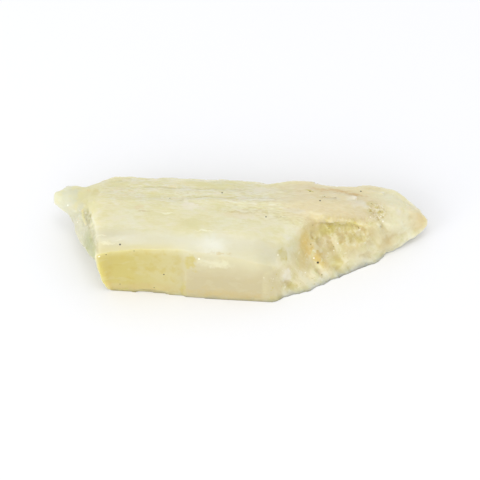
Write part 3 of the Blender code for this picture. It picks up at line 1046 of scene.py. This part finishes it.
# Painted shade in the cracks, and below it in the dips.
skin.stain(face["cracks"] * (face["broken"] * 0.25 + crumbed * 0.6), BROWN)
skin.stain(face["dips"] * face["broken"], HOLLOW, 0.2)
skin.stain(face["edges"] * (face["broken"] * 0.15 + crumbed * 0.6), BREAK_PALE)
print(f"{len(skin.tree.nodes)} nodes after the cracks")


# %% [markdown]
# ### Specks, pits and glints
#
# Tiny dark grains of another mineral are set in the feldspar, stain has gathered in
# pits, and small facets glint. All are under half a millimetre across. Holes and facets
# that small are too fine for this mesh, so they are colour. Each centre is snapped to the
# nearest point of the skin, because a dot that lay just inside wouldn't show.

# %% Specks, pits and glints
DOT_RIM = 1.1  # a dot starts this many radii out
DOT_CORE = 0.5  # and is full from here in
SPECK = daylight(34, 28, 20)
PIT = daylight(150, 138, 78)
GLINT = daylight(250, 248, 236)

SPECKS = (
    (-4.9, 21.7, 89, 0.16), (7.4, -4.2, 96, 0.15), (-30.5, -39.0, 91, 0.15),
    (-18.8, -45.9, 43, 0.13), (21.3, 18.5, 90, 0.17), (18.4, 29.6, 83, 0.12),
    (31.9, 38.8, 74, 0.13), (21.6, -19.3, 31, 0.20), (-30.5, -46.9, 17, 0.10),
    (-21.4, -47.4, 14, 0.10), (-26.7, -42.3, 86, 0.10), (-34.0, -46.6, 83, 0.12),
    (-28.2, 21.8, 88, 0.09), (-18.6, 11.4, 92, 0.09),
)
GLINTS = (
    (-45.9, 9.5, 68, 0.16), (-42.7, -7.6, 67, 0.14), (-35.8, -48.5, 82, 0.18),
    (-9.5, -43.4, 76, 0.2), (37.4, 16.9, 64, 0.16), (38.3, 12.9, 62, 0.15),
    (11.2, -33.8, 75, 0.14), (7.8, -47.1, 50, 0.09), (10.3, -45.0, 44, 0.08),
    (34.9, 12.3, 72, 0.14), (38.2, 17.6, 65, 0.12), (25.6, -8.0, 35, 0.12),
    (26.6, -5.8, 47, 0.12), (20.5, -18.8, 39, 0.14), (18.4, -29.0, 27, 0.12),
    (13.3, -41.2, 18, 0.14), (32.4, 2.0, 64, 0.12),
)
PITS = (
    (19.8, -0.4, 74, 0.11), (26.9, 3.2, 72, 0.14), (29.4, 3.3, 76, 0.13),
    (32.0, 3.0, 66, 0.13), (24.1, -0.8, 70, 0.12), (22.8, -24.7, 14, 0.12),
    (19.5, -11.9, 55, 0.12), (11.3, -1.9, 93, 0.10), (25.6, -6.6, 41, 0.11),
    (34.9, 25.8, 75, 0.12), (37.4, 19.8, 69, 0.12), (22.4, 25.6, 85, 0.10),
)


def dots(rows):
    """1 in small round dots on the skin. A row is a place in percent and a radius in mm."""
    found = None
    for *at, radius in rows:
        _, nearest, _, _ = stone.closest_point_on_mesh(place(*at))
        distance = apart(mm, nearest / MM) + fine_wobble * 0.05
        dot = skin.rise(distance, radius * DOT_RIM, radius * DOT_CORE)
        found = dot if found is None else found.above(dot)
    return found


# The glints are painted highlights.
skin.stain(dots(GLINTS), GLINT, 0.8)
skin.stain(dots(PITS), PIT, 0.9)
skin.stain(dots(SPECKS), SPECK)
print(f"{len(SPECKS)} specks, {len(GLINTS)} glints and {len(PITS)} pits")


# %% [markdown]
# ### Gloss and depth
#
# A cleavage has a pearly gloss and a break is duller, so the roughness follows the paint.
# Light enters feldspar, scatters and comes out milky, some millimetres away. Glass with
# a volume inside would show that best, but it is slow and noisy, and subsurface scattering
# comes close. Red light goes a little deeper than blue. A faint bump stands for the
# striations that are too fine even for this mesh.

# %% Gloss and depth
CLEAVAGE_ROUGHNESS = 0.36
BREAK_DULLER = 0.12
FRONT_DULLER = 0.1
MOTTLE_SWING = 0.4
SHINE = 0.4
FELDSPAR_IOR = 1.54
MILKINESS = 0.9
LIGHT_DEPTH = 3 * MM
DEPTH_BY_COLOUR = (1.0, 0.9, 0.72)
STRIATION_DEPTH = 0.05 * MM
STRIATION_STRENGTH = 0.3

roughness = CLEAVAGE_ROUGHNESS + face["broken"] * BREAK_DULLER + face["front"] * FRONT_DULLER
roughness = roughness + (mottle - 0.5) * MOTTLE_SWING
striations = skin.noise(stretched((0.5, 0.14, 0.2)))
bump_inputs = {"Strength": STRIATION_STRENGTH, "Distance": STRIATION_DEPTH, "Height": striations}
bump = skin.node("ShaderNodeBump", {}, bump_inputs)

skin.coat(Base_Color=skin.colour, Roughness=roughness, Normal=bump, IOR=FELDSPAR_IOR)
skin.coat(Specular_IOR_Level=SHINE, Subsurface_Weight=MILKINESS)
skin.coat(Subsurface_Scale=LIGHT_DEPTH, Subsurface_Radius=DEPTH_BY_COLOUR)
stone.data.materials.append(skin.material)
print(f"the feldspar has {len(skin.tree.nodes)} nodes")


# %% [markdown]
# ## A pale floor
#
# A small stone is best shown on a plain pale sheet that reaches past the view on every
# side. It is dull, so that it takes no reflection, and a touch blue, to set off the
# yellow of the stone. It isn't part of the stone, so it is only staged.

# %% Floor
SHEET_WIDTH = 2.0
SHEET_COLOUR = (0.882, 0.888, 0.912, 1)
SHEET_ROUGHNESS = 0.9

bpy.ops.object.select_all(action="DESELECT")
bpy.ops.mesh.primitive_plane_add(size=SHEET_WIDTH, location=(0, 0, 0))
floor = bpy.context.object
floor.name = "floor"
sheet = Finish("white_sheet")
sheet.coat(Base_Color=SHEET_COLOUR, Roughness=SHEET_ROUGHNESS, Specular_IOR_Level=0.0)
floor.data.materials.append(sheet.material)
print(f"the sheet is {SHEET_WIDTH:.0f} m wide")


# %% [markdown]
# ## Soft light
#
# The stone lies in a white room, and the room fills every shadow. Three soft lamps add a
# little: one in front on the left, which makes the rounded shoulder shine, a weak one in
# front, and one overhead. A single strong lamp would show the relief better, but it would
# throw a hard shadow and burn out the cream.

# %% Lamps
ROOM_LIGHT = 0.88


def lamp(name, stand, size, power):
    """A square soft lamp that faces the stone. Where it stands and its size are in metres."""
    light = bpy.data.lights.new(name, "AREA")
    light.shape = "SQUARE"
    light.size = size
    light.energy = power
    holder = bpy.data.objects.new(name, light)
    holder.location = stand
    holder.rotation_euler = (-Vector(stand)).to_track_quat("-Z", "Y").to_euler()
    bpy.context.scene.collection.objects.link(holder)
    print(f"{name}: {power} W")


lamp("front_left", (-0.40, -0.36, 0.29), 0.34, 0.85)
lamp("front", (0.0, -0.50, 0.30), 0.34, 0.35)
lamp("overhead", (0.0, -0.10, 0.60), 0.25, 0.45)

world = bpy.data.worlds.new("white_room")
world.use_nodes = True
room = world.node_tree.nodes["Background"]
room.inputs["Color"].default_value = (1, 1, 1, 1)
room.inputs["Strength"].default_value = ROOM_LIGHT
bpy.context.scene.world = world
bpy.context.scene.view_settings.view_transform = "Standard"


# %% [markdown]
# ## The camera
#
# The camera looks down steeply, almost square to the blade, so that both the top and the
# front show. A long lens from far off keeps the parallel cleavages parallel, and its
# length is worked out from how much should be in view.

# %% Camera
AZIMUTH = math.radians(4)
ELEVATION = math.radians(50)
DISTANCE = 0.8
VIEW_WIDTH = 0.072  # how much the camera sees from side to side at the stone
SENSOR = 36.0
AIM_RIGHT = 0.21 * MM  # the middle of the view, seen from the middle of the base
AIM_UP = 1.9 * MM

back_to_camera = Vector((math.sin(AZIMUTH) * math.cos(ELEVATION),
                         -math.cos(AZIMUTH) * math.cos(ELEVATION),
                         math.sin(ELEVATION)))
right = Vector((math.cos(AZIMUTH), math.sin(AZIMUTH), 0))
upward = back_to_camera.cross(right)
aim = right * AIM_RIGHT + upward * AIM_UP

camera = bpy.data.objects.new("camera", bpy.data.cameras.new("camera"))
bpy.context.scene.collection.objects.link(camera)
camera.data.sensor_width = SENSOR
camera.data.lens = SENSOR * DISTANCE / VIEW_WIDTH
camera.location = aim + back_to_camera * DISTANCE
camera.rotation_euler = (-back_to_camera).to_track_quat("-Z", "Y").to_euler()
bpy.context.scene.camera = camera
print(f"the lens is {camera.data.lens:.0f} mm")
